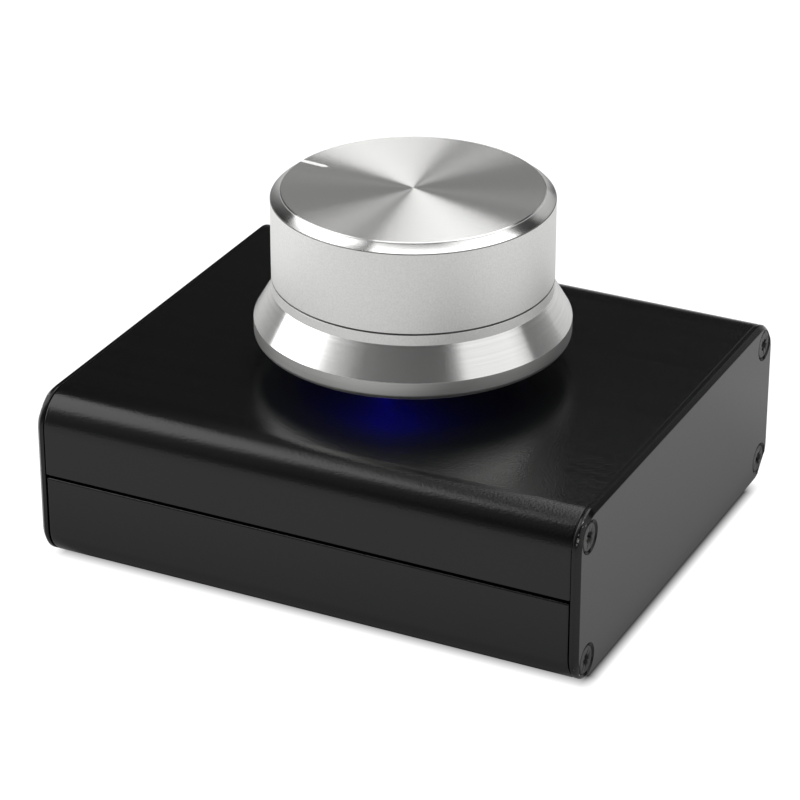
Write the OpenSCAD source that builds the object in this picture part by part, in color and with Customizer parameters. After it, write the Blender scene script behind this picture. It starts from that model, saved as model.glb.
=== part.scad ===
// Desktop volume controller: a split black aluminium case with a large turned knob on a
// push-switch rotary encoder, a lit gap under the knob and a data socket in the rear plate.
// Millimetres, +Z up. The origin is on the table under the knob's axis. The case runs along X:
// the blank front plate is at +X and the rear plate with the socket is at -X.

/* [Case] */
// Overall length of the case over both end plates
case_l = 82; // [70:0.5:120]
// Width of the case profile
case_w = 70; // [60:0.1:100]
// Height of the case profile without the foot pads
case_h = 25.2; // [23:0.1:40]
// Outer corner radius of the case profile
corner_r = 5; // [4.5:0.1:7]
// Wall thickness of both extruded shells
wall = 1.8; // [1.5:0.1:2.5]
// Thickness of the end plates
plate_t = 1.2; // [1.2:0.1:2]
// Chamfer around the outer face of the end plates
plate_edge = 0.6; // [0.3:0.05:0.8]
// Width of the shadow gap between the two shells
seam_gap = 0.35; // [0.1:0.05:0.6]
// How far the lower shell ends short of each end plate
lower_short = 0.15; // [0:0.05:0.5]
// How far the lower shell's lips rise above the seam to carry the board
lip_h = 1.9; // [1.5:0.1:4]
// Outer wall left beside the lip
skin_t = 0.9; // [0.6:0.1:1.1]
// Width of the ledges and ribs that trap the board's edges
ledge_w = 1.7; // [1:0.1:3]
// Thickness of the ribs over the board's edges
rib_t = 1.2; // [0.8:0.1:1.4]

/* [Foot pads] */
// Radius of a foot pad
foot_r = 4.5; // [3:0.1:6]
// Thickness of a foot pad
foot_h = 1; // [0.5:0.1:3]
// Distance from a pad's centre to the sides of the case
foot_inset = 9.5; // [8:0.1:14]

/* [End plate screws] */
// Thread radius of the end plate screws
screw_r = 1.25; // [1:0.05:1.4]
// How far a countersunk head stands out past its thread
head_out = 1.1; // [0.8:0.05:1.1]
// Length of a screw from the face of its head
screw_l = 8; // [6:0.5:12]
// Distance from a screw's axis to the rounded corner of the case
screw_corner = 2.65; // [2.6:0.05:4]
// How deep the heads sit below the plate's face
head_sink = 0.08; // [0.05:0.01:0.15]
// Width of a blade of the cross recess
recess_w = 0.6; // [0.4:0.05:0.8]
// Span of the cross recess
recess_span = 2.6; // [2:0.1:3]
// Depth of the cross recess
recess_d = 0.8; // [0.5:0.1:0.9]
// Metal around the thread in the shells' screw channels
channel_t = 1.15; // [0.8:0.05:1.2]
// Turn of each screw from the one before, in degrees
screw_turn = 25; // [0:5:45]

/* [Board] */
// Thickness of the circuit board
board_t = 1.6; // [1:0.1:2]
// Distance from the front plate to the board's front edge
board_front_gap = 6; // [3:0.5:12]
// Distance from the rear plate to the board's rear edge
board_rear_gap = 0.6; // [0.3:0.1:2]

/* [Data socket] */
// Width of the socket's metal shell
usb_w = 7.7; // [7:0.1:9]
// Height of the socket's metal shell
usb_h = 3.95; // [3.5:0.05:5]
// Length of the socket
usb_d = 9.2; // [8:0.1:11]
// Sheet thickness of the socket's shell
usb_t = 0.3; // [0.2:0.05:0.4]
// Height of the shell's straight sides under the board
usb_side = 2.2; // [1.8:0.05:2.6]
// How far the shell narrows on each side at its lower edge
usb_taper = 0.9; // [0.5:0.1:1.2]
// How far the socket's mouth sits inside the plate's face
usb_sink = 0.2; // [0:0.05:0.6]
// Length of the insulating block at the back of the socket
insert_d = 2.2; // [1.5:0.1:3]
// Thickness of the socket's tongue
tongue_t = 0.9; // [0.6:0.1:1.2]
// Width of the socket's tongue
tongue_w = 4.6; // [4.2:0.1:5]
// How far the tongue ends behind the socket's mouth
tongue_sink = 1; // [0.5:0.1:2]
// Spacing of the five contacts
contact_pitch = 0.8; // [0.7:0.05:0.9]
// Width of a contact
contact_w = 0.35; // [0.25:0.05:0.45]
// Thickness of a contact
contact_t = 0.15; // [0.1:0.05:0.2]

/* [Board components] */
// Length of the chip's body past its last lead
chip_end = 0.5; // [0.3:0.1:1]
// Width of the controller chip's body
chip_w = 5.3; // [4:0.1:7]
// Thickness of the controller chip's body
chip_h = 1.6; // [1.2:0.1:2]
// Leads on each side of the chip
chip_leads_n = 10; // [6:1:10]
// Spacing of the chip's leads
lead_pitch = 0.65; // [0.5:0.05:0.7]
// Width of a chip lead
lead_w = 0.3; // [0.2:0.05:0.35]
// Sheet thickness of a chip lead
lead_t = 0.15; // [0.1:0.05:0.2]
// Reach of a chip lead past the body
lead_run = 1.1; // [0.8:0.05:1.4]
// Length of the crystal's can
crystal_l = 11; // [9:0.1:13]
// Width of the crystal's can
crystal_w = 4.6; // [4:0.1:5]
// Height of the crystal's can
crystal_h = 3.6; // [2.5:0.1:4.5]
// Radius of the electrolytic capacitors
cap_r = 2; // [1.5:0.1:3]
// Gap between the two electrolytic capacitors
cap_gap = 2; // [0.5:0.1:4]
// Height of the electrolytic capacitors
cap_h = 5.4; // [4:0.1:7]
// Chip resistors in the row
resistor_n = 8; // [4:1:8]
// Distance from the knob's axis to the row of resistors
resistor_row = 18.7; // [16:0.1:24]
// Distance from the board's front edge to the row of resistors
resistor_edge = 10; // [5:0.5:14]
// Length of a chip resistor
resistor_l = 1.6; // [1:0.1:2]
// Width of a chip resistor
resistor_w = 0.8; // [0.5:0.1:1.2]
// Height of a chip resistor
resistor_h = 0.5; // [0.3:0.1:0.7]

/* [Lamp under the knob] */
// Gap between the encoder's front side and the lamp's rim
led_gap = 0.8; // [0.5:0.1:2]
// Radius of the lamp
led_r = 1.5; // [1.2:0.1:2]
// Height of the lamp
led_h = 5.3; // [5:0.1:6]
// How far the lamp's rim stands out around its base
led_rim = 0.4; // [0.2:0.1:0.6]
// Thickness of the lamp's rim
led_rim_h = 1; // [0.6:0.1:1.4]
// How far the lamp stands out of the case
led_proud = 1.2; // [0.8:0.1:1.6]
// Thickness of the lamp's square leads
led_lead = 0.5; // [0.4:0.05:0.6]
// Spacing of the lamp's two leads
led_lead_pitch = 1.9; // [1.6:0.1:2.2]

/* [Encoder] */
// Radius of the encoder's shaft
shaft_r = 3; // [2.5:0.1:3]
// Length of the shaft above the inside of the case top
shaft_l = 20; // [18:0.5:22]
// Length of the flat on the shaft
flat_l = 10; // [8:0.5:11]
// Distance from the shaft's axis to its flat
flat_x = 1.5; // [1.2:0.1:2]
// Wall of the threaded bush
bush_wall = 0.5; // [0.4:0.05:1]
// Length of the threaded bush
bush_l = 7; // [6:0.5:8]
// Least wall of the encoder's moulded body
housing_wall = 0.5; // [0.4:0.05:1]
// Thickness of the plate under the bush
bush_plate_t = 1.6; // [1.2:0.1:2]
// Sheet thickness of the mounting frame
frame_t = 0.4; // [0.3:0.05:0.5]
// Width of the frame's legs
leg_w = 6; // [4:0.1:8]
// Width of the lugs that are soldered into the board
lug_w = 2; // [1.5:0.1:2.5]
// How far the retaining clip stands out past the shaft
clip_out = 1.2; // [0.8:0.1:1.6]
// Thickness of the retaining clip
clip_t = 0.5; // [0.4:0.1:0.8]
// Depth of the shaft's neck inside the clip
neck_d = 0.8; // [0.5:0.1:1]
// How much smaller the shaft's drive end is in radius
drive_d = 0.7; // [0.5:0.1:1]
// Depth of the two flats on the drive end
drive_flat_d = 0.6; // [0.4:0.1:0.8]
// Radius of the shaft's nose
nose_r = 1.2; // [0.9:0.1:1.4]
// How far the rotor disc stands out past the clip
rotor_out = 0.8; // [0.6:0.05:1.5]
// Thickness of the rotor disc
rotor_t = 1.35; // [1.2:0.05:2]
// Sheet thickness of the brush, the detent spring and the snap dome
spring_t = 0.15; // [0.1:0.05:0.2]
// Room around the rotor disc
cavity_gap = 0.35; // [0.2:0.05:0.6]
// Thickness of the contact floor
floor_t = 0.65; // [0.5:0.05:1]
// Radius of the plunger's stem
stem_r = 1.8; // [1.5:0.1:2]
// How far the plunger's flange stands out past its stem
flange_out = 0.7; // [0.4:0.1:1]
// Thickness of the plunger's flange
flange_t = 0.35; // [0.3:0.05:0.5]
// Thickness of the switch cover
cover_t = 0.4; // [0.3:0.1:0.8]
// Thickness of a terminal
terminal_t = 0.3; // [0.2:0.05:0.4]
// Width of a terminal
terminal_w = 0.8; // [0.6:0.1:1]
// Spacing of the three terminals on one side
terminal_pitch = 2.5; // [2:0.1:3]
// How far the terminals stand off the encoder's body
terminal_out = 0.9; // [0.6:0.1:1.2]
// How far soldered leads stand out under the board
solder_proud = 1.2; // [0.8:0.1:1.6]
// How far the lock washer stands out past the nut's flats
washer_out = 1; // [0.5:0.1:1.5]
// Thickness of the lock washer
washer_t = 0.5; // [0.3:0.1:0.8]
// Wall of the panel nut at its flats
nut_wall = 1.5; // [1.2:0.1:2]
// Thickness of the panel nut
nut_t = 2; // [1.5:0.1:2.4]
// Travel of the push switch
press_travel = 0.5; // [0.3:0.05:0.8]

/* [Knob] */
// Gap between the case top and the knob
knob_gap = 4.15; // [3.6:0.05:6]
// Radius of the knob's straight side
knob_r = 19.8; // [17:0.1:24]
// How far the skirt stands out past the side
skirt_out = 2.55; // [1.5:0.05:4]
// Height of the skirt's upright rim
rim_h = 2.65; // [1.5:0.05:4]
// Height of the conical skirt
cone_h = 4.4; // [3:0.1:6]
// Height of the ledge above the cone
ledge_h = 1.65; // [1:0.05:3]
// Height of the straight side
side_h = 11.8; // [10:0.1:16]
// Height of the chamfer around the top face
chamfer_h = 1.15; // [0.5:0.05:2]
// Width of the chamfer around the top face
chamfer_w = 1.4; // [0.5:0.05:2]
// Height of the groove between the ledge and the side
groove_h = 0.3; // [0.15:0.05:0.6]
// Depth of the groove between the ledge and the side
groove_d = 0.3; // [0.15:0.05:0.6]
// Wall around the hollow under the knob, at the straight side
hollow_wall = 3.8; // [3:0.1:5]
// Room between the encoder's bush and the top of the hollow, with the knob pressed
hollow_room = 1; // [0.5:0.1:2]
// Length of the pointer line on the top face
pointer_l = 4.6; // [3:0.1:10]
// Width of the pointer line
pointer_w = 0.85; // [0.4:0.05:1.5]
// Depth of the pointer line
pointer_d = 0.25; // [0.15:0.05:0.5]
// Direction of the pointer line, in degrees from +X
pointer_angle = 174.5; // [0:0.5:360]
// Thread radius of the knob's set screw
set_r = 1.5; // [1:0.1:2]
// Length of the knob's set screw
set_l = 6; // [4:0.5:10]
// Distance from the shaft's tip down to the set screw's axis
set_drop = 3; // [2.5:0.1:4]
// Width across the flats of the set screw's socket
set_key = 1.5; // [1.2:0.1:2]
// Depth of the set screw's socket
set_key_d = 1.6; // [1:0.1:2]

/* [Fits] */
// Radial running clearance of turning and sliding pieces
run_fit = 0.04; // [0.02:0.01:0.08]
// End clearance between moving pieces
end_fit = 0.05; // [0.03:0.01:0.1]
// Radial clearance of threads and seats
seat_fit = 0.03; // [0.01:0.01:0.06]
// Clearance of loose holes and slots
hole_fit = 0.15; // [0.1:0.05:0.2]

/* [Hidden] */
$fn = 64;
cut = 1;
SIDES = [-1, 1];
half_l = case_l / 2;
half_w = case_w / 2;
case_z = foot_h;
top_z = case_z + case_h;
// Inside face of the case top, where the encoder is clamped
panel_z = top_z - wall;
// The screws sit on the diagonals of the rounded corners
screw_inset = corner_r - (corner_r - screw_corner) / sqrt(2);
screw_y = half_w - screw_inset;
screw_z1 = case_z + screw_inset;
screw_z2 = top_z - screw_inset;
// Screw axes of an end plate, in Y and Z
screw_axes = [[-screw_y, screw_z1], [-screw_y, screw_z2], [screw_y, screw_z2], [screw_y, screw_z1]];
head_r = screw_r + head_out;
channel_r = screw_r + channel_t;

// Encoder radii, outwards from the shaft
bush_r = shaft_r + bush_wall;
nut_flats = 2 * (bush_r + nut_wall);
washer_r = nut_flats / 2 + washer_out;
clip_r = shaft_r + clip_out;
frame_hole_r = clip_r + 2 * hole_fit;
neck_r = shaft_r - neck_d;
drive_r = shaft_r - drive_d;
drive_flats = 2 * (drive_r - drive_flat_d);
rotor_r = clip_r + rotor_out;
cavity_r = rotor_r + cavity_gap;
enc_w = 2 * (cavity_r + housing_wall);
flange_r = stem_r + flange_out;
terminal_y = enc_w / 2 + terminal_out - terminal_t / 2;
leg_x = enc_w / 2 + frame_t / 2;
// Centre lines of the encoder's terminals, three on one side and two on the other
terminals = concat(
  [for (i = [-1 : 1]) [i * terminal_pitch, -1]],
  [for (i = SIDES) [i * terminal_pitch, 1]]
);

// Encoder stack, downwards from the inside of the case top
clip_top = panel_z - bush_plate_t - end_fit;
clip_bottom = clip_top - clip_t;
rotor_top = clip_bottom - press_travel - 2 * end_fit;
rotor_bottom = rotor_top - rotor_t;
brush_bottom = rotor_bottom - spring_t;
floor_top = brush_bottom - end_fit;
floor_bottom = floor_top - floor_t;
drive_bottom = floor_top + press_travel + end_fit;
stem_top = floor_top - 2 * end_fit;
nose_bottom = stem_top + end_fit;
flange_top = floor_bottom - end_fit;
flange_bottom = flange_top - flange_t;
cover_top = flange_bottom - press_travel - 2 * spring_t;
board_top = cover_top - cover_t;
board_z = board_top - board_t;
leads_z = board_z - solder_proud;
seam_z = board_z - lip_h;

// Board outline
board_x1 = -half_l + plate_t + board_rear_gap;
board_x2 = half_l - plate_t - board_front_gap;
board_w = case_w - 2 * wall - 2 * hole_fit;

// Socket, hanging under the board with its mouth in the rear plate
usb_x = -half_l + usb_sink;
tongue_z = board_z - (usb_h + tongue_t) / 2;

// Components under the board, placed from the encoder's body outwards
chip_l = (chip_leads_n - 1) * lead_pitch + lead_w + 2 * chip_end;
chip_x = enc_w / 2 + 2 * lug_w + chip_l / 2;
chip_y = enc_w;
crystal_x = -enc_w / 2 - crystal_l / 2;
crystal_y = enc_w + crystal_w;
cap_x = -enc_w - cap_r;
cap_pitch = 2 * cap_r + cap_gap;
resistor_x = board_x2 - resistor_edge;

// Lamp
led_base = top_z + led_proud - led_h;
led_y = -enc_w / 2 - led_gap - led_rim - led_r;

// Knob
knob_z = top_z + knob_gap;
cone_z = knob_z + rim_h;
ledge_z = cone_z + cone_h;
side_z = ledge_z + ledge_h;
chamfer_z = side_z + side_h;
knob_top = chamfer_z + chamfer_h;
skirt_r = knob_r + skirt_out;
face_r = knob_r - chamfer_w;
hollow_r = knob_r - hollow_wall;
shaft_tip = panel_z + shaft_l;
bush_tip = panel_z + bush_l;
hollow_top = max(bush_tip, knob_z) + press_travel + hollow_room;
bore_top = shaft_tip + 2 * hole_fit;
set_z = shaft_tip - set_drop;

// Extrudes a profile drawn in Y and Z along X, from x1 to x2
module along_x(x1, x2) {
  translate([x1, 0, 0])
    rotate([90, 0, 90])
      linear_extrude(x2 - x1)
        children();
}

// Upright block centred on a point in plan, between two heights
module block(x, y, z1, z2, l, w) {
  translate([x - l / 2, y - w / 2, z1])
    cube([l, w, z2 - z1]);
}

// Upright round bar on the knob's axis, between two heights
module bar(r, z1, z2) {
  translate([0, 0, z1])
    cylinder(r = r, h = z2 - z1);
}

// Case outline: a rectangle with round corners, grown inwards by inset
module outline(inset) {
  r = corner_r - inset;
  w = case_w - 2 * inset;
  h = case_h - 2 * inset;
  translate([-w / 2 + r, case_z + inset])
    square([w - 2 * r, h]);
  translate([-w / 2, case_z + inset + r])
    square([w, h - 2 * r]);
  for (s = SIDES, z = [inset + r, case_h - inset - r])
    translate([s * (w / 2 - r), case_z + z])
      circle(r);
}

module ring_profile() {
  difference() {
    outline(0);
    outline(wall);
  }
}

// Places its children on the screw axes of one level
module at_screws(z) {
  for (s = SIDES)
    translate([s * screw_y, z])
      children();
}

// Rectangle on both sides of the profile, from an outer to an inner distance to the side of the case
module side_bars(outer, inner, z1, z2) {
  for (s = SIDES)
    translate([s > 0 ? half_w - inner : -half_w + outer, z1])
      square([inner - outer, z2 - z1]);
}

module upper_shell() {
  color([0.09, 0.09, 0.09])
    difference() {
      along_x(-half_l + plate_t, half_l - plate_t)
        difference() {
          union() {
            intersection() {
              ring_profile();
              translate([-case_w, seam_z + seam_gap / 2])
                square([2 * case_w, case_h]);
            }
            at_screws(screw_z2)
              circle(channel_r);
            side_bars(wall / 2, wall + ledge_w, board_top + seat_fit, board_top + rib_t);
          }
          at_screws(screw_z2)
            circle(screw_r + seat_fit);
          side_bars(skin_t, 2 * wall, seam_z, board_z + seat_fit);
        }
      bar(bush_r + hole_fit, panel_z - cut, top_z + cut);
      translate([0, led_y, 0])
        bar(led_r + hole_fit, panel_z - cut, top_z + cut);
    }
}

module lower_shell() {
  edge_z = seam_z - seam_gap / 2;
  inner_l = half_l - plate_t - lower_short;
  color([0.09, 0.09, 0.09])
    along_x(-inner_l, inner_l)
      difference() {
        union() {
          intersection() {
            ring_profile();
            translate([-case_w, 0])
              square([2 * case_w, edge_z]);
          }
          at_screws(screw_z1)
            circle(channel_r);
          side_bars(skin_t + seat_fit, wall + ledge_w, edge_z - wall, board_z);
        }
        at_screws(screw_z1)
          circle(screw_r + seat_fit);
      }
}

// Layer that narrows evenly from the case outline, drawn in Y and Z and rising along +Z
module chamfer_layer() {
  inner_w = half_w - corner_r;
  inner_h = case_h - 2 * corner_r;
  translate([0, case_z + corner_r + inner_h, 0])
    rotate([90, 0, 0])
      linear_extrude(inner_h)
        polygon([
          [-half_w, 0], [half_w, 0],
          [half_w - plate_edge, plate_edge], [plate_edge - half_w, plate_edge]
        ]);
  translate([-inner_w, case_z, 0])
    rotate([90, 0, 90])
      linear_extrude(2 * inner_w)
        polygon([[0, 0], [case_h, 0], [case_h - plate_edge, plate_edge], [plate_edge, plate_edge]]);
  for (s = SIDES, z = [case_z + corner_r, top_z - corner_r])
    translate([s * inner_w, z, 0])
      cylinder(r1 = corner_r, r2 = corner_r - plate_edge, h = plate_edge);
}

// End plate at +X, with a chamfered face and four countersunk holes
module end_plate() {
  difference() {
    union() {
      along_x(half_l - plate_t, half_l - plate_edge)
        outline(0);
      translate([half_l - plate_edge, 0, 0])
        rotate([90, 0, 90])
          chamfer_layer();
    }
    for (p = screw_axes)
      translate([half_l, p[0], p[1]])
        rotate([0, -90, 0]) {
          translate([0, 0, -cut])
            cylinder(r = screw_r + hole_fit, h = plate_t + 2 * cut);
          translate([0, 0, -cut])
            cylinder(r = head_r + seat_fit, h = cut + head_sink);
          translate([0, 0, head_sink])
            cylinder(r1 = head_r + seat_fit, r2 = screw_r + seat_fit, h = head_out);
        }
  }
}

module front_plate() {
  color([0.3, 0.3, 0.3])
    end_plate();
}

module rear_plate() {
  color([0.3, 0.3, 0.3])
    difference() {
      mirror([1, 0, 0])
        end_plate();
      along_x(-half_l - cut, -half_l + plate_t + cut)
        usb_outline(-hole_fit);
    }
}

// Countersunk screw with a cross recess, head at the origin, pointing along +Z
module end_screw() {
  difference() {
    union() {
      cylinder(r1 = head_r, r2 = screw_r, h = head_out);
      cylinder(r = screw_r, h = screw_l);
    }
    for (a = [0, 90])
      rotate(a)
        translate([-recess_span / 2, -recess_w / 2, -cut])
          cube([recess_span, recess_w, recess_d + cut]);
  }
}

// Four screws of one end plate, each left at its own angle
module plate_screws(side) {
  color([0.12, 0.12, 0.12])
    for (i = [0 : 3])
      translate([side * (half_l - head_sink), screw_axes[i][0], screw_axes[i][1]])
        rotate([0, -90 * side, 0])
          rotate(i * screw_turn)
            end_screw();
}

module foot_pad(sx, sy) {
  color([0.1, 0.1, 0.1])
    translate([sx * (half_l - foot_inset), sy * (half_w - foot_inset), 0])
      cylinder(r = foot_r, h = foot_h);
}

// Places its children on the axes of the lamp's leads
module at_led_leads() {
  for (s = SIDES)
    translate([s * led_lead_pitch / 2, led_y, 0])
      children();
}

module circuit_board() {
  color([0.05, 0.3, 0.12])
    difference() {
      block((board_x1 + board_x2) / 2, 0, board_z, board_top, board_x2 - board_x1, board_w);
      for (t = terminals)
        block(t[0], t[1] * terminal_y, board_z - cut, board_top + cut,
          terminal_w + 2 * hole_fit, terminal_t + 2 * hole_fit);
      for (s = SIDES)
        block(s * leg_x, 0, board_z - cut, board_top + cut, frame_t + 2 * hole_fit, lug_w + 2 * hole_fit);
      at_led_leads()
        block(0, 0, board_z - cut, board_top + cut, led_lead + 2 * hole_fit, led_lead + 2 * hole_fit);
    }
}

// Socket outline below the board, grown inwards by inset
module usb_outline(inset) {
  w = usb_w / 2 - inset;
  polygon([
    [-w, board_z - inset], [w, board_z - inset], [w, board_z - usb_side],
    [w - usb_taper, board_z - usb_h + inset], [-w + usb_taper, board_z - usb_h + inset],
    [-w, board_z - usb_side]
  ]);
}

module usb_socket_shell() {
  color([0.75, 0.75, 0.76])
    difference() {
      along_x(usb_x, usb_x + usb_d)
        usb_outline(0);
      along_x(usb_x - cut, usb_x + usb_d + cut)
        usb_outline(usb_t);
    }
}

// One socket contact: a flat strip under the tongue, bent up behind the block to the board
module usb_contact(grow) {
  w = contact_w + 2 * grow;
  back_x = usb_x + usb_d;
  z = tongue_z - contact_t;
  block((usb_x + 2 * tongue_sink + back_x + contact_t) / 2, 0, z - grow, tongue_z + grow,
    back_x + contact_t - usb_x - 2 * tongue_sink, w);
  block(back_x + contact_t / 2 + grow, 0, z, board_z, contact_t, w);
}

module at_contacts() {
  for (i = [-2 : 2])
    translate([0, i * contact_pitch, 0])
      children();
}

module usb_socket_insert() {
  color([0.1, 0.1, 0.1])
    difference() {
      union() {
        along_x(usb_x + usb_d - insert_d, usb_x + usb_d)
          usb_outline(usb_t + seat_fit);
        block(usb_x + (tongue_sink + usb_d) / 2, 0, tongue_z, tongue_z + tongue_t,
          usb_d - tongue_sink, tongue_w);
      }
      at_contacts()
        usb_contact(seat_fit / 3);
    }
}

module usb_contacts() {
  color([0.8, 0.65, 0.3])
    at_contacts()
      usb_contact(0);
}

module controller_chip() {
  color([0.08, 0.08, 0.08])
    block(chip_x, chip_y, board_z - hole_fit - chip_h, board_z - hole_fit, chip_l, chip_w);
}

// Gull-wing leads along both long sides of the chip
module chip_leads() {
  knee = lead_run / 2;
  drop = hole_fit + chip_h / 2;
  color([0.75, 0.75, 0.75])
    for (s = SIDES, i = [0 : chip_leads_n - 1])
      translate([
        chip_x + (i - (chip_leads_n - 1) / 2) * lead_pitch - lead_w / 2,
        chip_y + s * chip_w / 2,
        board_z
      ])
        rotate([90, 0, 90])
          linear_extrude(lead_w)
            polygon([
              [0, -drop], [s * knee, -drop], [s * knee, -lead_t], [s * lead_run, -lead_t],
              [s * lead_run, 0], [s * (knee - lead_t), 0], [s * (knee - lead_t), lead_t - drop],
              [0, lead_t - drop]
            ]);
}

module crystal() {
  end = (crystal_l - crystal_w) / 2;
  color([0.78, 0.78, 0.8])
    translate([crystal_x, crystal_y, board_z - crystal_h]) {
      translate([-end, -crystal_w / 2, 0])
        cube([2 * end, crystal_w, crystal_h]);
      for (s = SIDES)
        translate([s * end, 0, 0])
          cylinder(r = crystal_w / 2, h = crystal_h);
    }
}

module capacitors() {
  color([0.6, 0.6, 0.62])
    for (i = [1, 2])
      translate([cap_x, -i * cap_pitch, board_z - cap_h])
        cylinder(r = cap_r, h = cap_h);
}

module resistors() {
  color([0.15, 0.15, 0.16])
    for (i = [0 : resistor_n - 1])
      block(resistor_x - i * 2 * resistor_w, -resistor_row, board_z - resistor_h, board_z,
        resistor_w, resistor_l);
}

// Round lamp, upright, with its rim on its leads
module led() {
  color([0.15, 0.3, 0.95])
    translate([0, led_y, led_base]) {
      cylinder(r = led_r + led_rim, h = led_rim_h);
      cylinder(r = led_r, h = led_h - led_r);
      translate([0, 0, led_h - led_r])
        sphere(led_r);
    }
}

module led_leads() {
  color([0.75, 0.75, 0.75])
    at_led_leads()
      block(0, 0, leads_z, led_base, led_lead, led_lead);
}

// Die-cast plate and threaded bush that carry the shaft
module encoder_bush() {
  color([0.7, 0.7, 0.72])
    difference() {
      union() {
        block(0, 0, panel_z - bush_plate_t, panel_z, enc_w, enc_w);
        bar(bush_r, panel_z - bush_plate_t / 2, bush_tip);
      }
      bar(shaft_r + run_fit, panel_z - bush_plate_t - cut, bush_tip + cut);
    }
}

// Bent sheet over the housing, with two legs whose lugs are soldered into the board
module encoder_frame() {
  web_top = panel_z - bush_plate_t;
  color([0.72, 0.72, 0.74])
    difference() {
      union() {
        block(0, 0, web_top - frame_t, web_top, enc_w, enc_w);
        for (s = SIDES) {
          block(s * leg_x, 0, board_top, web_top, frame_t, leg_w);
          block(s * leg_x, 0, leads_z, board_top + cut, frame_t, lug_w);
        }
      }
      bar(frame_hole_r, web_top - frame_t - cut, web_top + cut);
    }
}

// Moulded body: the rotor's hollow above the contact floor and the switch chamber below it
module encoder_housing() {
  top = panel_z - bush_plate_t - frame_t;
  color([0.1, 0.1, 0.12])
    difference() {
      block(0, 0, cover_top, top, enc_w, enc_w);
      bar(cavity_r, floor_top, top + cut);
      bar(stem_r + run_fit, floor_bottom - cut, floor_top + cut);
      bar(flange_r + hole_fit, cover_top - cut, floor_bottom);
    }
}

module encoder_terminals() {
  color([0.75, 0.75, 0.75])
    for (t = terminals) {
      block(t[0], t[1] * terminal_y, leads_z, floor_bottom, terminal_w, terminal_t);
      block(t[0], t[1] * (enc_w + terminal_out) / 2, floor_bottom - terminal_t, floor_bottom,
        terminal_w, terminal_out);
    }
}

// Flat ring under the frame with two nubs that ride on the rotor
module detent_spring() {
  top = panel_z - bush_plate_t - frame_t;
  inner = clip_r + hole_fit;
  mid = (inner + rotor_r) / 2;
  color([0.8, 0.7, 0.45]) {
    difference() {
      bar(cavity_r - seat_fit, top - spring_t, top);
      bar(inner, top - spring_t - cut, top + cut);
    }
    for (s = SIDES)
      block(s * mid, 0, rotor_top + end_fit, top - spring_t / 2, (rotor_r - inner) / 2, terminal_w);
  }
}

module switch_cover() {
  color([0.12, 0.12, 0.12])
    block(0, 0, board_top, cover_top, enc_w, enc_w);
}

// Sprung dome that returns the plunger
module snap_dome() {
  rise = flange_bottom - end_fit - cover_top;
  ball_r = (flange_r * flange_r + rise * rise) / (2 * rise);
  color([0.8, 0.8, 0.8])
    intersection() {
      translate([0, 0, cover_top + rise - ball_r])
        difference() {
          sphere(ball_r);
          sphere(ball_r - spring_t);
        }
      bar(flange_r, cover_top, floor_bottom);
    }
}

module lock_washer() {
  color([0.75, 0.75, 0.75])
    difference() {
      bar(washer_r, top_z, top_z + washer_t);
      bar(bush_r + seat_fit, top_z - cut, top_z + washer_t + cut);
    }
}

module panel_nut() {
  z = top_z + washer_t;
  color([0.78, 0.78, 0.78])
    difference() {
      translate([0, 0, z])
        cylinder(r = nut_flats / 2 / cos(30), h = nut_t, $fn = 6);
      bar(bush_r + seat_fit, z - cut, z + nut_t + cut);
    }
}

// Round bar with two flats, used for the shaft's drive end and the rotor's bore
module drive_bar(grow, z1, z2) {
  intersection() {
    bar(drive_r + grow, z1, z2);
    block(0, 0, z1, z2, 2 * (drive_r + cut), drive_flats + 2 * grow);
  }
}

module encoder_rotor() {
  color([0.85, 0.85, 0.8])
    difference() {
      bar(rotor_r, rotor_bottom, rotor_top);
      drive_bar(run_fit, rotor_bottom - cut, rotor_top + cut);
    }
}

module contact_brush() {
  color([0.8, 0.65, 0.3])
    difference() {
      bar(rotor_r, brush_bottom, rotor_bottom);
      bar((drive_r + rotor_r) / 2, brush_bottom - cut, rotor_bottom + cut);
    }
}

module switch_plunger() {
  color([0.9, 0.9, 0.85]) {
    bar(stem_r, flange_bottom, stem_top);
    bar(flange_r, flange_bottom, flange_top);
  }
}

// Shaft with a flat for the set screw, a neck for the clip, a drive end and a nose
module encoder_shaft() {
  color([0.72, 0.72, 0.74])
    difference() {
      union() {
        bar(shaft_r, clip_top, shaft_tip);
        bar(neck_r, clip_bottom - seat_fit, clip_top + seat_fit);
        drive_bar(0, drive_bottom, clip_bottom);
        bar(nose_r, nose_bottom, clip_bottom);
      }
      translate([-shaft_r - cut, flat_x, shaft_tip - flat_l])
        cube([2 * (shaft_r + cut), shaft_r, flat_l + cut]);
    }
}

module retaining_clip() {
  color([0.3, 0.3, 0.32])
    difference() {
      bar(clip_r, clip_bottom, clip_top);
      bar(neck_r + seat_fit, clip_bottom - cut, clip_top + cut);
      block(0, clip_r, clip_bottom - cut, clip_top + cut, neck_r, 2 * clip_r);
    }
}

// Slot of the pointer line: pointed at its inner end and open at the knob's edge
module pointer_slot() {
  inner = face_r - pointer_l;
  rotate(pointer_angle)
    translate([0, 0, knob_top - pointer_d])
      linear_extrude(pointer_d + cut)
        polygon([
          [inner, 0], [inner + pointer_w, -pointer_w / 2], [knob_r, -pointer_w / 2],
          [knob_r, pointer_w / 2], [inner + pointer_w, pointer_w / 2]
        ]);
}

// Turned knob: skirt, ledge, groove, straight side, chamfer and flat top, hollow underneath
module turned_blank() {
  rotate_extrude()
    polygon([
      [hollow_r, knob_z], [skirt_r, knob_z], [skirt_r, cone_z], [knob_r, ledge_z],
      [knob_r, side_z - groove_h / 2], [knob_r - groove_d, side_z - groove_h / 2],
      [knob_r - groove_d, side_z + groove_h / 2], [knob_r, side_z + groove_h / 2],
      [knob_r, chamfer_z], [face_r, knob_top], [0, knob_top],
      [0, hollow_top], [hollow_r, hollow_top]
    ]);
}

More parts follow.
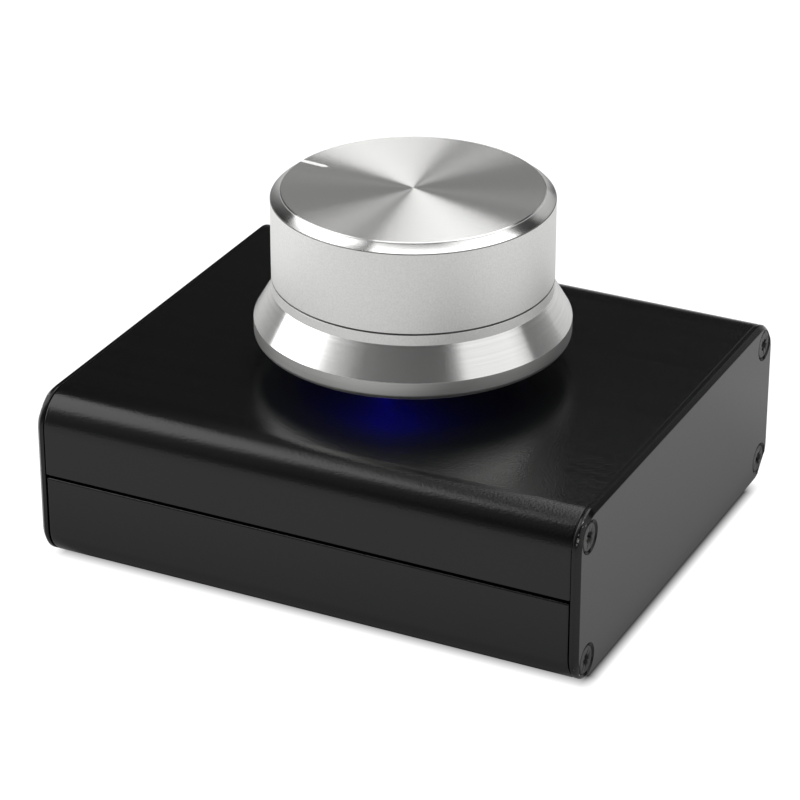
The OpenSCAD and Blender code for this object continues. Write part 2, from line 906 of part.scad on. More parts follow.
module knob_body() {
  color([0.78, 0.78, 0.79])
    difference() {
      turned_blank();
      bar(shaft_r + seat_fit, hollow_top - cut, bore_top);
      translate([0, 0, set_z])
        rotate([-90, 0, 0])
          cylinder(r = set_r + seat_fit, h = knob_r + cut);
      pointer_slot();
    }
}

// Paint that fills the slot level with the knob's surface
module pointer_line() {
  color([0.95, 0.95, 0.95])
    intersection() {
      turned_blank();
      pointer_slot();
    }
}

module set_screw() {
  color([0.15, 0.15, 0.15])
    translate([0, flat_x, set_z])
      rotate([-90, 0, 0])
        difference() {
          cylinder(r = set_r, h = set_l);
          translate([0, 0, set_l - set_key_d])
            cylinder(r = set_key / 2 / cos(30), h = set_key_d + cut, $fn = 6);
        }
}

upper_shell();
lower_shell();
front_plate();
rear_plate();
plate_screws(1);  // front_plate_screws
plate_screws(-1);  // rear_plate_screws
foot_pad(1, -1);  // foot_pad_1
foot_pad(1, 1);  // foot_pad_2
foot_pad(-1, 1);  // foot_pad_3
foot_pad(-1, -1);  // foot_pad_4
circuit_board();
usb_socket_shell();
usb_socket_insert();
usb_contacts();
controller_chip();
chip_leads();
crystal();
capacitors();
resistors();
led();
led_leads();
encoder_bush();
encoder_frame();
encoder_housing();
encoder_terminals();
detent_spring();
switch_cover();
snap_dome();
lock_washer();
panel_nut();
encoder_rotor();
contact_brush();
switch_plunger();
encoder_shaft();
retaining_clip();
knob_body();
pointer_line();
set_screw();
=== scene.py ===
import math

import bmesh
import bpy
from mathutils import Matrix, Vector


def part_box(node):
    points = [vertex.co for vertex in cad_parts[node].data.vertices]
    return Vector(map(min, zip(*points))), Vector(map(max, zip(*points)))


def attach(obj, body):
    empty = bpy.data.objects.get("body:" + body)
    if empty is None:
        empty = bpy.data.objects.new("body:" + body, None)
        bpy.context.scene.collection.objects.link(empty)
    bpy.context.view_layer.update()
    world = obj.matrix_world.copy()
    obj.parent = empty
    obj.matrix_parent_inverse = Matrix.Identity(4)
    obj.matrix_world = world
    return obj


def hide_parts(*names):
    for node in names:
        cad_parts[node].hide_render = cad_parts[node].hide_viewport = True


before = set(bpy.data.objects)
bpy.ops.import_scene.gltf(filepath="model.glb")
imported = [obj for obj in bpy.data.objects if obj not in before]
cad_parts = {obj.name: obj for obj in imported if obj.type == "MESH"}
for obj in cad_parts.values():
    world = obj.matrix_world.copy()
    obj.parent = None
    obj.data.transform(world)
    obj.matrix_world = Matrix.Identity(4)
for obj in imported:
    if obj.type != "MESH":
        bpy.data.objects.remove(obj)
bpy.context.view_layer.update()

MM = 0.001
scene = bpy.context.scene
view_azimuth = math.radians(26.171)
view_elevation = math.radians(26.916)
view_distance = 490.07
aim_height = 21
aim_left = 1.829
aim_down = 1.603
view_right = Vector((math.cos(view_azimuth), math.sin(view_azimuth), 0))
view_depth = Vector((-math.sin(view_azimuth), math.cos(view_azimuth), 0))
view_back = Vector((0, 0, math.sin(view_elevation))) - view_depth * math.cos(view_elevation)
view_up = view_back.cross(view_right)
aim = Vector((0, 0, aim_height)) - aim_left * view_right - aim_down * view_up
camera = bpy.data.objects.new("camera", bpy.data.cameras.new("camera"))
camera.data.sensor_width = 36
camera.data.lens = 155.53
camera.matrix_world = (
    Matrix.Translation((aim + view_distance * view_back) * MM)
    @ Matrix((view_right, view_up, view_back)).transposed().to_4x4()
)
scene.collection.objects.link(camera)
scene.camera = camera
scene.view_settings.view_transform = "Standard"


# Studio: a table top of matt white acrylic, lit from below, with a contact shadow and shade near
# the case painted into its glow. One softbox hangs overhead and one stands on each side, with a
# little light spilling past two of them. A reflector and a strip of dim wall stand behind, and the
# room is dark above.
def srgb(hex_colour):
    """Linear red, green, blue and alpha of an sRGB hex colour."""
    channels = [int(hex_colour[i:i + 2], 16) / 255 for i in (1, 3, 5)]
    return [c / 12.92 if c <= 0.04045 else ((c + 0.055) / 1.055) ** 2.4 for c in channels] + [1]


def add_node(tree, kind, inputs=None, **settings):
    """Adds a shader node. Each input takes a value or another node's output socket."""
    node = tree.nodes.new("ShaderNode" + kind)
    for name, value in settings.items():
        setattr(node, name, value)
    for name, value in (inputs or {}).items():
        if isinstance(value, bpy.types.NodeSocket):
            tree.links.new(value, node.inputs[name])
        else:
            node.inputs[name].default_value = value
    return node


def ramp(tree, value, low, high, start=0, end=1, **settings):
    """Runs from low to high as a value runs from start to end, and stays there outside them."""
    return add_node(tree, "MapRange", {
        "Value": value, "From Min": start, "From Max": end, "To Min": low, "To Max": high,
    }, **settings).outputs[0]


def combine(tree, operation, *values):
    """What an operation, given by its name, makes of some values."""
    return add_node(tree, "Math", dict(enumerate(values)), operation=operation).outputs[0]


def start_material(name):
    """A new material and its empty node tree."""
    material = bpy.data.materials.new(name)
    material.use_nodes = True
    material.node_tree.nodes.clear()
    return material, material.node_tree


def add_surface(tree, inputs):
    """Ends a material in one surface with these inputs."""
    shader = add_node(tree, "BsdfPrincipled", inputs)
    add_node(tree, "OutputMaterial", {"Surface": shader.outputs[0]})


def add_sheet(name, corners, material):
    """A flat stage sheet; its corners are (right, depth, height) from the camera's side, in mm."""
    mesh = bpy.data.meshes.new(name)
    places = [(r * view_right + d * view_depth + Vector((0, 0, h))) * MM for r, d, h in corners]
    mesh.from_pydata(places, [], [range(len(places))])
    mesh.materials.append(material)
    sheet = bpy.data.objects.new(name, mesh)
    scene.collection.objects.link(sheet)
    return sheet


def add_light(name, radiance, corners):
    """A diffusing sheet lit evenly to a radiance."""
    material, tree = start_material(name)
    glow = add_node(tree, "Emission", {"Strength": radiance})
    add_node(tree, "OutputMaterial", {"Surface": glow.outputs[0]})
    add_sheet(name, corners, material).visible_camera = False


over_z = 650
add_light("overhead_diffuser", 2.5, [(45, 864, over_z), (-222, -168, over_z), (648, 54, over_z)])
add_light("overhead_spill", 0.15, [
    (45, 864, over_z), (-222, -168, over_z), (-380, -168, over_z), (-120, 864, over_z),
])
left_top, left_foot = (-175, 425), (-480, 30)
for name, radiance, near, far in (("left_diffuser", 3, -115, 190), ("left_spill", 0.26, -300, -115)):
    add_light(name, radiance, [
        (left_top[0], near, left_top[1]), (left_top[0], far, left_top[1]),
        (left_foot[0], far, left_foot[1]), (left_foot[0], near, left_foot[1]),
    ])
add_light("right_diffuser", 1.04, [(300, -384, 20), (465, -8, 20), (355, 39, 640), (190, -337, 640)])
rear_low, rear_high = 40, 520
for name, radiance, start, end in (
    ("rear_reflector", 0.6, (665, 445), (328, 730)), ("rear_wall", 0.12, (328, 730), (150, 773)),
):
    add_light(name, radiance, [
        (*start, rear_low), (*end, rear_low), (*end, rear_high), (*start, rear_high),
    ])

# The room glows faintly from low down; the camera itself sees a white backdrop
world = bpy.data.worlds.new("dim_studio")
scene.world = world
world.use_nodes = True
tree = world.node_tree
tree.nodes.clear()
direction = add_node(tree, "SeparateXYZ", {0: add_node(tree, "TexCoord").outputs["Generated"]})
front_glow = ramp(tree, direction.outputs["Y"], 0.03, 0.02, start=-1)
low_glow = ramp(tree, direction.outputs["Z"], 0.38, 0, end=0.45, interpolation_type="SMOOTHSTEP")
room = add_node(tree, "Background", {"Strength": combine(tree, "ADD", front_glow, low_glow)})
backdrop = add_node(tree, "Background", {"Color": srgb("#f2f2f2")})
sight = add_node(tree, "LightPath")
room_mix = add_node(tree, "MixShader", {
    0: sight.outputs["Is Camera Ray"], 1: room.outputs[0], 2: backdrop.outputs[0],
})
add_node(tree, "OutputWorld", {"Surface": room_mix.outputs[0]})

acrylic, tree = start_material("matt_white_acrylic")
# How far a spot of the table lies past the ends and sides of the case; under it this is negative
case_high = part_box("upper_shell")[1]
plate_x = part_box("front_plate")[1].x
away = add_node(tree, "VectorMath", {
    0: add_node(tree, "TexCoord").outputs["Object"],
}, operation="ABSOLUTE")
past = add_node(tree, "VectorMath", {
    0: away.outputs[0], 1: (plate_x, case_high.y, 0),
}, operation="SUBTRACT")
sides = add_node(tree, "SeparateXYZ", {0: past.outputs[0]})
# Seen directly, a contact shadow painted into the glow darkens it under the case and fades out under
# the case's rounded edges; the rest is white
painted_shadow_x = ramp(tree, sides.outputs["X"], 1, 0, start=-1 * MM, end=0.8 * MM)
painted_shadow_y = ramp(tree, sides.outputs["Y"], 1, 0, start=-6.3 * MM, end=-2.8 * MM)
clear = ramp(tree, combine(tree, "MULTIPLY", painted_shadow_x, painted_shadow_y), 1.05, 0)
# What the part mirrors of the table is dimmer, with painted shade near the case that lightens with the
# distance from it
wide_x = combine(tree, "ADD", sides.outputs["X"], 2 * MM)
gap = combine(tree, "MAXIMUM", wide_x, sides.outputs["Y"])
painted_shadow_under_case = ramp(tree, gap, 0, 1, start=-4 * MM, end=5 * MM)
painted_shade_near_case = ramp(tree, gap, 0.52, 0.78, end=25 * MM)
mirrored_glow_with_painted_shade = combine(tree, "MULTIPLY", painted_shadow_under_case, painted_shade_near_case)
table_glow_with_painted_shadow = ramp(tree, add_node(tree, "LightPath").outputs["Is Camera Ray"], mirrored_glow_with_painted_shade, clear)
add_surface(tree, {
    "Base Color": srgb("#484848"), "Roughness": 0.9, "Specular IOR Level": 0.1,
    "Emission Color": srgb("#ffffff"), "Emission Strength": table_glow_with_painted_shadow,
})
table_half = 4000
add_sheet("table", [
    (-table_half, -table_half, 0), (table_half, -table_half, 0),
    (table_half, table_half, 0), (-table_half, table_half, 0),
], acrylic)


# Foot pads: four round pads of black silicone rubber, punched from sheet and stuck under the
# lower shell. The moulded skin is matt, with a faint grain.
def dress(name, material, bevel=0.0):
    """Gives a CAD node its material and breaks its sharp edges by a small bevel, in mm."""
    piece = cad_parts[name]
    piece.material_slots[0].material = material
    if bevel:
        weld = piece.modifiers.new("joined_faces", "WELD")
        weld.merge_threshold = 0.002 * MM
        flat = piece.modifiers.new("flat_faces", "DECIMATE")
        flat.decimate_type = "DISSOLVE"
        flat.angle_limit = math.radians(0.5)
        edge = piece.modifiers.new("broken_edges", "BEVEL")
        edge.width = bevel * MM
        edge.segments = 2
        edge.limit_method = "ANGLE"
        edge.angle_limit = math.radians(28)
        edge.use_clamp_overlap = False
        even = piece.modifiers.new("even_normals", "WEIGHTED_NORMAL")
        even.keep_sharp = False


def speckle(tree, size, detail=2, squash=None):
    """Random specks of a size in mm. A squash below 1 along an axis draws them out along it."""
    place = add_node(tree, "TexCoord").outputs["Object"]
    if squash:
        place = add_node(tree, "Mapping", {"Vector": place, "Scale": squash}).outputs[0]
    return add_node(tree, "TexNoise", {
        "Vector": place, "Scale": 1 / (size * MM), "Detail": detail,
    }).outputs["Fac"]


def two_tones(tree, value, dark, light, start=0, end=1):
    """Runs from one hex colour to another as a value runs from start to end."""
    tone = add_node(tree, "ValToRGB", {0: value})
    for stop, position, colour in zip(tone.color_ramp.elements, (start, end), (dark, light)):
        stop.position = position
        stop.color = srgb(colour)
    return tone.outputs[0]


def dents(tree, height, strength, depth):
    """The surface normals of a shallow relief, with its depth in mm."""
    return add_node(tree, "Bump", {
        "Height": height, "Strength": strength, "Distance": depth * MM,
    }).outputs[0]


silicone, tree = start_material("moulded_silicone_rubber")
skin = speckle(tree, 0.4, detail=3)
add_surface(tree, {
    "Base Color": two_tones(tree, skin, "#131313", "#222222"), "Roughness": 0.75, "IOR": 1.41,
    "Normal": dents(tree, skin, 0.3, 0.05),
})
for corner in range(1, 5):
    dress(f"foot_pad_{corner}", silicone, 0.25)

# Case shells: two black anodised aluminium extrusions, one over the other, sawn to length. The
# dyed oxide is satin from a light blasting, with a fine grain and faint die lines along the length.
black_dye = ("#050605", "#0a0c0a")
anodised, tree = start_material("blasted_black_anodised_aluminium")
# Blasting grit leaves dents of 0.1 mm; they are drawn at 0.3 mm so that they show
grain = speckle(tree, 0.3)
die_lines = speckle(tree, 0.5, squash=(0.006, 1, 1))
die_share = 0.06
relief = combine(tree, "MULTIPLY_ADD", die_lines, die_share, grain)
add_surface(tree, {
    "Base Color": two_tones(tree, grain, *black_dye), "IOR": 1.42,
    "Roughness": ramp(tree, die_lines, 0.19, 0.22, start=0.3, end=0.7),
    "Normal": dents(tree, relief, 0.65, 0.04),
})
for name in ("lower_shell", "upper_shell"):
    dress(name, anodised, 0.3)

# Circuit board: green solder mask over glass laminate, slid between the shells' lips and ribs.
# The weave of the glass shows faintly through the mask.
laminate, tree = start_material("green_solder_mask_on_glass_laminate")
place = add_node(tree, "TexCoord").outputs["Object"]
weave = add_node(tree, "TexWave", {"Vector": place, "Scale": 1 / (6 * MM), "Distortion": 1.5})
add_surface(tree, {
    "Base Color": two_tones(tree, weave.outputs["Fac"], "#0d4a22", "#125a2b"), "Roughness": 0.35,
})
dress("circuit_board", laminate)


# Board components: a moulded chip and resistors of black plastic, leads of tinned copper and
# capacitors in plain aluminium cans, all soldered to the board.
def coated_metal(name, colour, smooth, rough):
    """A thin metal coat of one colour, shinier in some places than in others."""
    material, tree = start_material(name)
    add_surface(tree, {
        "Base Color": srgb(colour), "Metallic": 1,
        "Roughness": ramp(tree, speckle(tree, 0.8), smooth, rough),
    })
    return material


# The mould's spark-eroded face leaves the plastic a fine matt grain
black_plastic, tree = start_material("moulded_black_plastic")
grain = speckle(tree, 0.15)
add_surface(tree, {
    "Base Color": two_tones(tree, grain, "#121212", "#1e1e1e"), "Roughness": 0.5,
    "Normal": dents(tree, grain, 0.2, 0.02),
})

# Hot tin sets a little dull and patchy; plated gold stays smoother
tinned = coated_metal("tinned_copper", "#cfd0d0", 0.3, 0.5)
gilt = coated_metal("gilt_bronze", "#e0bd6a", 0.2, 0.4)

# Deep drawing leaves fine upright streaks on the cans
plain_can, tree = start_material("drawn_aluminium_can")
streak = speckle(tree, 0.3, squash=(1, 1, 0.05))
add_surface(tree, {
    "Base Color": srgb("#c4c5c6"), "Metallic": 1, "Roughness": ramp(tree, streak, 0.25, 0.45),
})

for name in ("controller_chip", "resistors"):
    dress(name, black_plastic)
for name in ("chip_leads", "led_leads"):
    dress(name, tinned)
dress("capacitors", plain_can)

# Data socket: a folded shell of nickel-plated steel round a black insulator with gilt contacts,
# soldered under the board with its mouth in the rear plate. The crystal's can is plated alike.
plated, tree = start_material("nickel_plated_steel")
# Nickel is a warm grey, and it takes on the cloudy sheen of the rolled steel under it
rolled = speckle(tree, 0.6, detail=4)
add_surface(tree, {
    "Base Color": two_tones(tree, rolled, "#b9b6ad", "#d2cfc6"), "Metallic": 1,
    "Roughness": ramp(tree, rolled, 0.18, 0.36),
})
dress("usb_socket_shell", plated, 0.06)
dress("usb_socket_insert", black_plastic)
dress("usb_contacts", gilt)
dress("crystal", plated, 0.3)

# Encoder: a moulded body under a bent steel frame, with a die-cast zinc bush through the case
# top. The rotor, brush and plunger turn and slide inside it.
white_plastic, tree = start_material("moulded_white_acetal")
# Acetal is a milky white with faint flow marks
flow = speckle(tree, 2)
add_surface(tree, {
    "Base Color": two_tones(tree, flow, "#dcd9cf", "#e8e6de"), "Roughness": 0.4, "IOR": 1.48,
})

# The die's cold face leaves the zinc grey and cloudy
cast_zinc, tree = start_material("die_cast_zinc")
chill = speckle(tree, 0.5, detail=4)
add_surface(tree, {
    "Base Color": two_tones(tree, chill, "#9b9da1", "#b8babd"), "Metallic": 1,
    "Roughness": ramp(tree, chill, 0.3, 0.5),
})

for name in ("encoder_frame", "encoder_shaft", "retaining_clip", "snap_dome"):
    dress(name, plated)
for name in ("encoder_housing", "switch_cover"):
    dress(name, black_plastic)
for name in ("encoder_rotor", "switch_plunger"):
    dress(name, white_plastic)
for name in ("contact_brush", "detent_spring"):
    dress(name, gilt)
dress("encoder_terminals", tinned)
dress("encoder_bush", cast_zinc)
dress("lock_washer", plated, 0.08)
dress("panel_nut", plated, 0.18)

# Lamp: a round blue lamp of tinted epoxy standing through the case top in front of the encoder,
# lit. It lights the hollow of the knob, and the case top mirrors that in the gap.
blue_epoxy, tree = start_material("lit_blue_epoxy")
haze = speckle(tree, 1.5)
add_surface(tree, {
    "Base Color": two_tones(tree, haze, "#1420e0", "#2a3cff"), "Roughness": 0.15, "IOR": 1.53,
    "Emission Color": srgb("#1a0cff"), "Emission Strength": 28,
})
dress("led", blue_epoxy)

# End plates: black anodised aluminium sheet with chamfered edges, countersunk at the corners. The
# countersinks break through the chamfer, where the bare metal shows.
plate_anodised, tree = start_material("blasted_black_anodised_sheet")
grain = speckle(tree, 0.3)
# The chamfer is worn bare past a slanting line across each corner, in patches
plate_low, plate_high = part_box("front_plate")
middle = add_node(tree, "VectorMath", {
    0: add_node(tree, "TexCoord").outputs["Object"], 1: (0, 0, (plate_low.z + plate_high.z) / 2),
}, operation="SUBTRACT")
away = add_node(tree, "SeparateXYZ", {
    0: add_node(tree, "VectorMath", {0: middle.outputs[0]}, operation="ABSOLUTE").outputs[0],
})
reach = combine(tree, "ADD", away.outputs["Y"], away.outputs["Z"])
at_corner = ramp(tree, reach, 0, 1, start=43.95 * MM, end=44.25 * MM)
on_chamfer = ramp(
    tree, away.outputs["X"], 0, 1, start=plate_high.x - 0.75 * MM, end=plate_high.x - 0.6 * MM,
)
patches = ramp(tree, speckle(tree, 1.1, detail=3), 0, 1, start=0.6, end=0.64)
bare = combine(tree, "MULTIPLY", combine(tree, "MULTIPLY", at_corner, on_chamfer), patches)
dyed = two_tones(tree, grain, *black_dye)
metal_tone = add_node(tree, "Mix", {0: bare, 6: dyed, 7: srgb("#cfcfcd")}, data_type="RGBA")
add_surface(tree, {
    "Base Color": metal_tone.outputs[2], "Metallic": bare, "IOR": 1.39,
    "Roughness": ramp(tree, grain, 0.2, 0.26), "Normal": dents(tree, grain, 0.4, 0.03),
})
for name in ("front_plate", "rear_plate"):
    dress(name, plate_anodised, 0.08)


# Plate screws: countersunk cross-recess screws of blackened steel, four to each plate, driven into
# the shells' screw channels. The rounded edge of each head leaves a dark ring in its countersink.
round_steps = 4


def rounded(corners):
    """Points along a line of (x, y, radius) corners, each rounded to its radius, in mm."""
    points = []
    for i, (x, y, radius) in enumerate(corners):
        here = Vector((x, y))
        if not radius:
            points.append(here)
            continue
        before = (Vector(corners[i - 1][:2]) - here).normalized()
        after = (Vector(corners[(i + 1) % len(corners)][:2]) - here).normalized()
        half = before.angle(after) / 2
        centre = here + (before + after).normalized() * (radius / math.sin(half))
        start = here + before * (radius / math.tan(half)) - centre
        turn = start.angle_signed(here + after * (radius / math.tan(half)) - centre)
        for k in range(round_steps + 1):
            points.append(centre + Matrix.Rotation(-turn * k / round_steps, 2) @ start)
    return points


def lathe(name, bands, segments=192):
    """A turned piece. Each band is a material and the (radius, height) points it runs along, in mm."""
    touching = 1e-6
    mesh = bpy.data.meshes.new(name)
    made = bmesh.new()
    rings = []
    for material, points in bands:
        if material.name not in mesh.materials:
            mesh.materials.append(material)
        slot_number = mesh.materials.find(material.name)
        for radius, height in points:
            if rings and (rings[-1][0] - Vector((radius, height))).length < touching:
                continue
            if radius < touching:
                ring = [made.verts.new((0, 0, height * MM))] * segments
            else:
                angles = [2 * math.pi * k / segments for k in range(segments)]
                ring = [
                    made.verts.new((radius * MM * math.cos(a), radius * MM * math.sin(a), height * MM))
                    for a in angles
                ]
            if rings:
                last = rings[-1][1]
                for k in range(segments):
                    n = (k + 1) % segments
                    corners = list(dict.fromkeys((last[k], last[n], ring[n], ring[k])))
                    face = made.faces.new(corners)
                    face.material_index = slot_number
                    face.smooth = True
            rings.append((Vector((radius, height)), ring))
    bmesh.ops.recalc_face_normals(made, faces=made.faces)
    return add_piece(name, made, mesh)


def add_piece(name, made, mesh=None):
    """Turns a finished bmesh into an object in the scene."""
    mesh = mesh or bpy.data.meshes.new(name)
    made.to_mesh(mesh)
    made.free()
    piece = bpy.data.objects.new(name, mesh)
    scene.collection.objects.link(piece)
    return piece


def carve(piece, *cutters):
    """Cuts the shapes of other objects out of a piece, and removes them."""
    for cutter in cutters:
        cut = piece.modifiers.new("cut", "BOOLEAN")
        cut.object = cutter
        cut.operation = "DIFFERENCE"
        cut.solver = "EXACT"
    bpy.context.view_layer.update()
    solved = piece.evaluated_get(bpy.context.evaluated_depsgraph_get())
    solved = bpy.data.meshes.new_from_object(solved)
    piece.modifiers.clear()
    piece.data = solved
    for cutter in cutters:
        bpy.data.objects.remove(cutter)


# Hot oil blacking leaves a dark grey with an uneven sheen
black_steel, tree = start_material("blackened_steel")
oxide = speckle(tree, 0.25, detail=3)
add_surface(tree, {
    "Base Color": two_tones(tree, oxide, "#1a1a1a", "#2c2c2b"), "Metallic": 0.6,
    "Roughness": ramp(tree, oxide, 0.3, 0.45),
})

head_r = 2.1
head_depth = 1.1
head_land = 0.2
shank_r = 1.25
shank_l = 7.9
screw = lathe("screw", [(black_steel, rounded([
    (0, -shank_l, 0), (shank_r - 0.2, -shank_l, 0), (shank_r, 0.3 - shank_l, 0),
    (shank_r, -head_depth, 0.2), (head_r, -head_land, 0.08), (head_r - 0.22, 0, 0.12), (0, 0, 0),
]))], 64)
# Each arm of the cross narrows towards its bottom, as the punch leaves it
arm_l = 2.3
arm_w = 0.92
arm_h = 2
foot_l_share = 0.5
foot_w_share = 0.7
arms = []
for turn in (0, math.pi / 2):
    made = bmesh.new()
    bmesh.ops.create_cube(made, size=1, matrix=Matrix.Diagonal((arm_l * MM, arm_w * MM, arm_h * MM, 1)))
    for corner in made.verts:
        if corner.co.z < 0:
            corner.co.x *= foot_l_share
            corner.co.y *= foot_w_share
        corner.co = Matrix.Rotation(turn, 3, "Z") @ corner.co
    arms.append(add_piece("arm", made))
carve(screw, *arms)

screw_sink = 0.14
screw_inset = 3.338 * MM
# The crosses stop at different angles, as driven screws do
first_turn, next_turn = 8, 25
for plate, side in (("front_plate", 1), ("rear_plate", -1)):
    low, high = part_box(plate)
    left, right = low.y + screw_inset, high.y - screw_inset
    bottom, top = low.z + screw_inset, high.z - screw_inset
    face = (high.x if side > 0 else low.x) - side * screw_sink * MM
    made = bmesh.new()
    for i, (y, z) in enumerate([(left, bottom), (left, top), (right, top), (right, bottom)]):
        first = len(made.verts)
        made.from_mesh(screw.data)
        made.verts.ensure_lookup_table()
        place = Matrix.Translation((face, y, z)) @ Matrix.Rotation(side * math.pi / 2, 4, "Y")
        place = place @ Matrix.Rotation(math.radians(next_turn * i + first_turn), 4, "Z")
        bmesh.ops.transform(made, matrix=place, verts=made.verts[first:])
    screws = add_piece(plate + "_screw_set", made)
    screws.data.materials.append(black_steel)
    edge = screws.modifiers.new("broken_edges", "BEVEL")
    edge.width = 0.04 * MM
    edge.limit_method = "ANGLE"
    edge.angle_limit = math.radians(40)
    screws.modifiers.new("even_normals", "WEIGHTED_NORMAL")
    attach(screws, "case")
    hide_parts(plate + "_screws")
bpy.data.objects.remove(screw)
dress("set_screw", black_steel, 0.08)

# Knob: turned from aluminium bar. The top is faced with fine rings, the coved chamfer and the
# conical skirt are bright-cut, the side and the ledge under it are blasted, and the rim is left
# satin from the lathe. A groove parts side and ledge; it and a fine line under the chamfer are
# painted dark grey as painted shade.
knob_low, knob_high = (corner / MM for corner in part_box("knob_body"))
knob_r = 19.8
skirt_r = knob_high.x
rim_z = knob_low.z
top_z = knob_high.z
cone_z = rim_z + 2.65
ledge_z = cone_z + 4.4
side_z = ledge_z + 1.65
chamfer_z = top_z - 1.15
face_r = knob_r - 1.4
hollow_r = 16
hollow_z = 32.9
bore_r = 3.03
bore_z = 44.7
groove_half = 0.12
groove_r = knob_r - 0.3

# A coarse cut inside, where no one sees it, is dull and spreads the lamp's light
machined, tree = start_material("machined_aluminium")
tool_marks = speckle(tree, 1.2, detail=3)
add_surface(tree, {
    "Base Color": srgb("#c8c8c7"), "Metallic": 0.2, "Roughness": ramp(tree, tool_marks, 0.85, 1),
})

# Painted shade: grooves and fine lines get a dull, mottled dark grey for the shade that falls in them
groove_shade_grey, tree = start_material("aluminium_painted_dark_for_groove_shade")
groove_shade_mottle = speckle(tree, 0.5)
add_surface(tree, {
    "Base Color": two_tones(tree, groove_shade_mottle, "#6c6c6b", "#828281"), "Metallic": 0.6, "Roughness": 0.7,
})


def ring_lines(tree, spacing):
    """Random rings about the knob's axis, as tool feed leaves them, at a spacing in mm."""
    place = add_node(tree, "TexCoord").outputs["Object"]
    flat = add_node(tree, "VectorMath", {0: place, 1: (1, 1, 0)}, operation="MULTIPLY")
    radius = add_node(tree, "VectorMath", {0: flat.outputs[0]}, operation="LENGTH")
    return add_node(tree, "TexNoise", {
        "W": radius.outputs["Value"], "Scale": 1 / (spacing * MM), "Detail": 2,
    }, noise_dimensions="1D").outputs["Fac"]


# The rings spread each light into a fan. Tool feed of 0.1 mm, drawn at 0.3 mm so that it shows
faced, tree = start_material("lathe_faced_aluminium")
rings = ring_lines(tree, 0.3)
along = add_node(tree, "Tangent", direction_type="RADIAL", axis="Z")
add_surface(tree, {
    "Base Color": two_tones(tree, rings, "#e4e4e2", "#f3f3f1"), "Metallic": 0.79, "Roughness": 0.27,
    "Anisotropic": 1, "Anisotropic Rotation": 0.25, "Tangent": along.outputs[0],
    "Normal": dents(tree, rings, 0.25, 0.01),
})

# A diamond tool cuts almost a mirror, which still draws each light out across the cut
bright_cut, tree = start_material("bright_cut_aluminium")
rings = ring_lines(tree, 0.25)
along = add_node(tree, "Tangent", direction_type="RADIAL", axis="Z")
add_surface(tree, {
    "Base Color": two_tones(tree, rings, "#dcdcdb", "#ececea"), "Metallic": 1, "Roughness": 0.25,
    "Anisotropic": 1, "Anisotropic Rotation": 0.25, "Tangent": along.outputs[0],
})

# Glass beads leave an even, pearly white. Beads of 0.1 mm, drawn at 0.25 mm so that they show
blasted, tree = start_material("bead_blasted_aluminium")
beads = speckle(tree, 0.25)
add_surface(tree, {
    "Base Color": two_tones(tree, beads, "#e6e6e4", "#f0f0ee", start=0.3, end=0.7), "Metallic": 1,
    "Roughness": 0.5, "Normal": dents(tree, beads, 0.25, 0.04),
})

# An unpolished cut is soft and greyer. Turning lines of 0.1 mm, drawn at 0.25 mm so that they show
satin, tree = start_material("satin_turned_aluminium")
lines = speckle(tree, 0.25, squash=(0.02, 0.02, 1))
add_surface(tree, {
    "Base Color": two_tones(tree, lines, "#bfbfbe", "#cfcfcd"), "Metallic": 1, "Roughness": 0.42,
})

# Each corner of the outline: finish of the stretch after it, radius, height and rounding
profile = [
    (machined, 0, bore_z, 0),  # end of the shaft's bore
    (machined, bore_r, bore_z, 0),  # wall of the bore
    (machined, bore_r, hollow_z, 0.15),  # roof of the hollow
    (machined, hollow_r, hollow_z, 0.4),  # wall of the hollow
    (machined, hollow_r, rim_z, 0.2),  # underside
    (satin, skirt_r, rim_z, 0.8),  # rim
    (bright_cut, skirt_r, cone_z, 0.1),  # conical skirt
    (blasted, knob_r, ledge_z, 0.1),  # ledge
    # The groove's dark grey is painted shade
    (groove_shade_grey, knob_r, side_z - groove_half, 0.04),  # groove
    (groove_shade_grey, groove_r, side_z - groove_half, 0),
    (groove_shade_grey, groove_r, side_z + groove_half, 0),
    (blasted, knob_r, side_z + groove_half, 0.04),  # side
    # The fine line's dark grey is painted shade
    (groove_shade_grey, knob_r, chamfer_z - 0.07, 0.04),  # fine line where the side ends
    (bright_cut, knob_r - 0.1, chamfer_z + 0.05, 0.02),  # chamfer, a shallow cove
    (bright_cut, face_r + 0.65, chamfer_z + 0.4, 5),
    (bright_cut, face_r + 0.05, top_z - 0.21, 0.03),  # fine bright edge above it
    (bright_cut, face_r + 0.03, top_z - 0.1, 0.04),
    (faced, face_r - 0.13, top_z, 0.05),  # top
    (faced, 0, top_z, 0),
]
line = rounded([corner[1:] for corner in profile])
bands = []
first = 0
# Each band runs from the middle of one rounding to the middle of the next
for corner, after in zip(profile, profile[1:]):
    count, after_count = (round_steps + 1 if c[3] else 1 for c in (corner, after))
    bands.append((corner[0], line[first + count // 2:first + count + after_count // 2 + 1]))
    first += count
knob = lathe("knob", bands)
# The pointer's slot runs out over the edge, and the set screw's hole faces the back
pointer_turn = Matrix.Rotation(math.radians(174.5), 4, "Z")
pointer_half = 0.425
pointer_inner = face_r - 4.6
pointer_full = pointer_inner + 2 * pointer_half
slot_z = top_z - 0.25


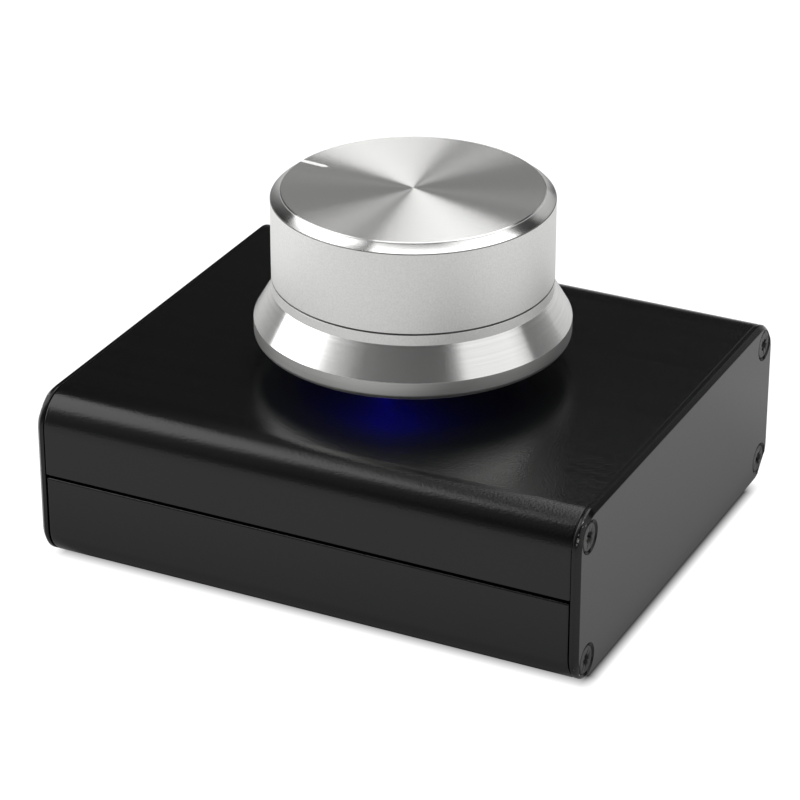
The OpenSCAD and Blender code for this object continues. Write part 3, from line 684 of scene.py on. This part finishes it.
def bar(name, outline, low, high):
    """An upright bar with a flat (x, y) outline between two heights, in mm, turned to the pointer."""
    made = bmesh.new()
    bottom = [made.verts.new((x * MM, y * MM, low * MM)) for x, y in outline]
    top = [made.verts.new((x * MM, y * MM, high * MM)) for x, y in outline]
    made.faces.new(bottom[::-1])
    made.faces.new(top)
    for k in range(len(outline)):
        n = (k + 1) % len(outline)
        made.faces.new((bottom[k], bottom[n], top[n], top[k]))
    made.transform(pointer_turn)
    return add_piece(name, made)


slot = bar("slot", [
    (pointer_inner, 0), (pointer_full, -pointer_half), (knob_r, -pointer_half),
    (knob_r, pointer_half), (pointer_full, pointer_half),
], slot_z, top_z + 1)
hole_r = 1.53 * MM
hole_l = knob_r * 1.1 * MM
hole_z = 41.4 * MM
made = bmesh.new()
bmesh.ops.create_cone(
    made, cap_ends=True, segments=48, radius1=hole_r, radius2=hole_r, depth=hole_l,
    matrix=Matrix.Translation((0, hole_l / 2, hole_z)) @ Matrix.Rotation(math.pi / 2, 4, "X"),
)
carve(knob, slot, add_piece("hole", made))
even = knob.modifiers.new("even_normals", "WEIGHTED_NORMAL")
even.keep_sharp = True
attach(knob, "knob")
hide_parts("knob_body")

# Pointer line: white paint wiped into a fine slot that runs out over the knob's edge. It dries a
# little below the face, with soft edges and a faint mottle.
white_paint, tree = start_material("white_filling_paint")
coat = speckle(tree, 0.3)
add_surface(tree, {"Base Color": two_tones(tree, coat, "#f0f0ee", "#fbfbfa"), "Roughness": 0.45})
paint_inner = pointer_inner + 0.03
paint_outer = face_r - 0.1
paint_z = top_z - 0.02
fill = bar("pointer_fill", rounded([
    (paint_inner, 0, 0.1), (pointer_full, -pointer_half, 0.2),
    (paint_outer, -pointer_half, 0.05), (paint_outer, pointer_half, 0.05),
    (pointer_full, pointer_half, 0.2),
]), slot_z, paint_z)
fill.data.materials.append(white_paint)
edge = fill.modifiers.new("wiped_edges", "BEVEL")
edge.width = 0.04 * MM
edge.segments = 2
edge.limit_method = "ANGLE"
fill.modifiers.new("even_normals", "WEIGHTED_NORMAL")
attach(fill, "knob")
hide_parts("pointer_line")
